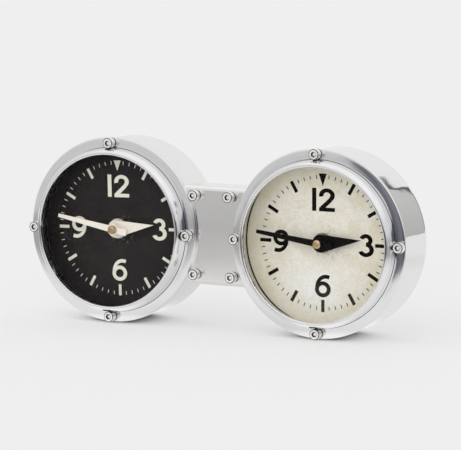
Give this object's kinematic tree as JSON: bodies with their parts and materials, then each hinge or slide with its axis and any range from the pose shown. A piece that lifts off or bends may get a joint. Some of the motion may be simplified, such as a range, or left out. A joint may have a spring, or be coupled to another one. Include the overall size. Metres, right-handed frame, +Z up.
{
  "type": "twin car clock",
  "caption": "Twin round dashboard-style clock: two turned drum cases with screwed raised bezels, glass, dials and hands, joined by a machined bridge block.",
  "frame": {"origin": "on the ground under the centre of the bounding box", "axes": "+X along the pair, to the viewer's right; +Y from the dials to the back; +Z up; the dials face -Y"},
  "size_m": [0.269, 0.0462, 0.121],
  "materials": {
    "case_aluminium": "polished and lightly brushed",
    "bezel_aluminium": "polished",
    "screw_steel": "stainless, bright",
    "glass": "clear, flat",
    "rubber": "matt",
    "black_dial": "matt black paint on a metal disc",
    "cream_dial": "aged cream paint on a metal disc",
    "cream_hands": "cream paint",
    "black_hands": "black paint",
    "brass": "turned, bright",
    "black_plastic": "moulded",
    "white_plastic": "moulded",
    "red_plastic": "moulded",
    "battery_sleeve": "glossy sleeve, bare steel ends",
    "copper_winding": "enamelled copper wire",
    "circuit_board": "lacquered board"
  },
  "bodies": {
    "body": {"left_case": "case_aluminium", "left_bezel": "bezel_aluminium", "left_bezel_screws": "screw_steel", "left_glass": "glass", "left_glass_gasket": "rubber", "left_glass_ring": "case_aluminium", "left_dial": "black_dial", "left_back_cover": "case_aluminium", "left_back_cover_screws": "screw_steel", "left_movement_case": "black_plastic", "left_movement_cover": "black_plastic", "left_train_plate": "white_plastic", "left_movement_seal": "rubber", "left_shaft_washer": "screw_steel", "left_shaft_nut": "brass", "left_battery": "battery_sleeve", "left_battery_contacts": "screw_steel", "left_stepper_coil": "copper_winding", "left_circuit_board": "circuit_board", "right_case": "case_aluminium", "right_bezel": "bezel_aluminium", "right_bezel_screws": "screw_steel", "right_glass": "glass", "right_glass_gasket": "rubber", "right_glass_ring": "case_aluminium", "right_dial": "cream_dial", "right_back_cover": "case_aluminium", "right_back_cover_screws": "screw_steel", "right_movement_case": "black_plastic", "right_movement_cover": "black_plastic", "right_train_plate": "white_plastic", "right_movement_seal": "rubber", "right_shaft_washer": "screw_steel", "right_shaft_nut": "brass", "right_battery": "battery_sleeve", "right_battery_contacts": "screw_steel", "right_stepper_coil": "copper_winding", "right_circuit_board": "circuit_board", "bridge_block": "case_aluminium", "bridge_back_plate": "case_aluminium", "bridge_front_screws": "screw_steel", "bridge_side_screws": "screw_steel"},
    "left_minute_arbor": {"left_cannon_pinion": "brass", "left_minute_hand": "cream_hands", "left_hand_cap": "brass"},
    "left_hour_arbor": {"left_hour_wheel": "white_plastic", "left_hour_hand": "cream_hands"},
    "left_intermediate_wheel": {"left_minute_wheel": "white_plastic"},
    "left_setting_spindle": {"left_setting_knob": "red_plastic"},
    "right_minute_arbor": {"right_cannon_pinion": "brass", "right_minute_hand": "black_hands", "right_hand_cap": "brass"},
    "right_hour_arbor": {"right_hour_wheel": "white_plastic", "right_hour_hand": "black_hands"},
    "right_intermediate_wheel": {"right_minute_wheel": "white_plastic"},
    "right_setting_spindle": {"right_setting_knob": "red_plastic"}
  },
  "joints": [
    {"name": "left_minute_arbor_turn", "type": "hinge", "parent": "body", "child": "left_minute_arbor", "pos_m": [-0.074, 0, 0.0605], "axis": [0, 1, 0], "continuous": true},
    {"name": "left_hour_arbor_turn", "type": "hinge", "parent": "body", "child": "left_hour_arbor", "pos_m": [-0.074, 0, 0.0605], "axis": [0, 1, 0], "continuous": true},
    {"name": "left_intermediate_wheel_turn", "type": "hinge", "parent": "body", "child": "left_intermediate_wheel", "pos_m": [-0.074, 0, 0.0685], "axis": [0, 1, 0], "continuous": true},
    {"name": "left_setting_spindle_turn", "type": "hinge", "parent": "body", "child": "left_setting_spindle", "pos_m": [-0.074, 0, 0.0775], "axis": [0, 1, 0], "continuous": true},
    {"name": "right_minute_arbor_turn", "type": "hinge", "parent": "body", "child": "right_minute_arbor", "pos_m": [0.074, 0, 0.0605], "axis": [0, 1, 0], "continuous": true},
    {"name": "right_hour_arbor_turn", "type": "hinge", "parent": "body", "child": "right_hour_arbor", "pos_m": [0.074, 0, 0.0605], "axis": [0, 1, 0], "continuous": true},
    {"name": "right_intermediate_wheel_turn", "type": "hinge", "parent": "body", "child": "right_intermediate_wheel", "pos_m": [0.074, 0, 0.0685], "axis": [0, 1, 0], "continuous": true},
    {"name": "right_setting_spindle_turn", "type": "hinge", "parent": "body", "child": "right_setting_spindle", "pos_m": [0.074, 0, 0.0775], "axis": [0, 1, 0], "continuous": true}
  ],
  "couplings": [
    {"joint": "left_hour_arbor_turn", "follows": "left_minute_arbor_turn", "ratio": 0.083333},
    {"joint": "left_intermediate_wheel_turn", "follows": "left_minute_arbor_turn", "ratio": -0.33333},
    {"joint": "left_setting_spindle_turn", "follows": "left_minute_arbor_turn", "ratio": 0.66667},
    {"joint": "right_hour_arbor_turn", "follows": "right_minute_arbor_turn", "ratio": 0.083333},
    {"joint": "right_intermediate_wheel_turn", "follows": "right_minute_arbor_turn", "ratio": -0.33333},
    {"joint": "right_setting_spindle_turn", "follows": "right_minute_arbor_turn", "ratio": 0.66667}
  ]
}
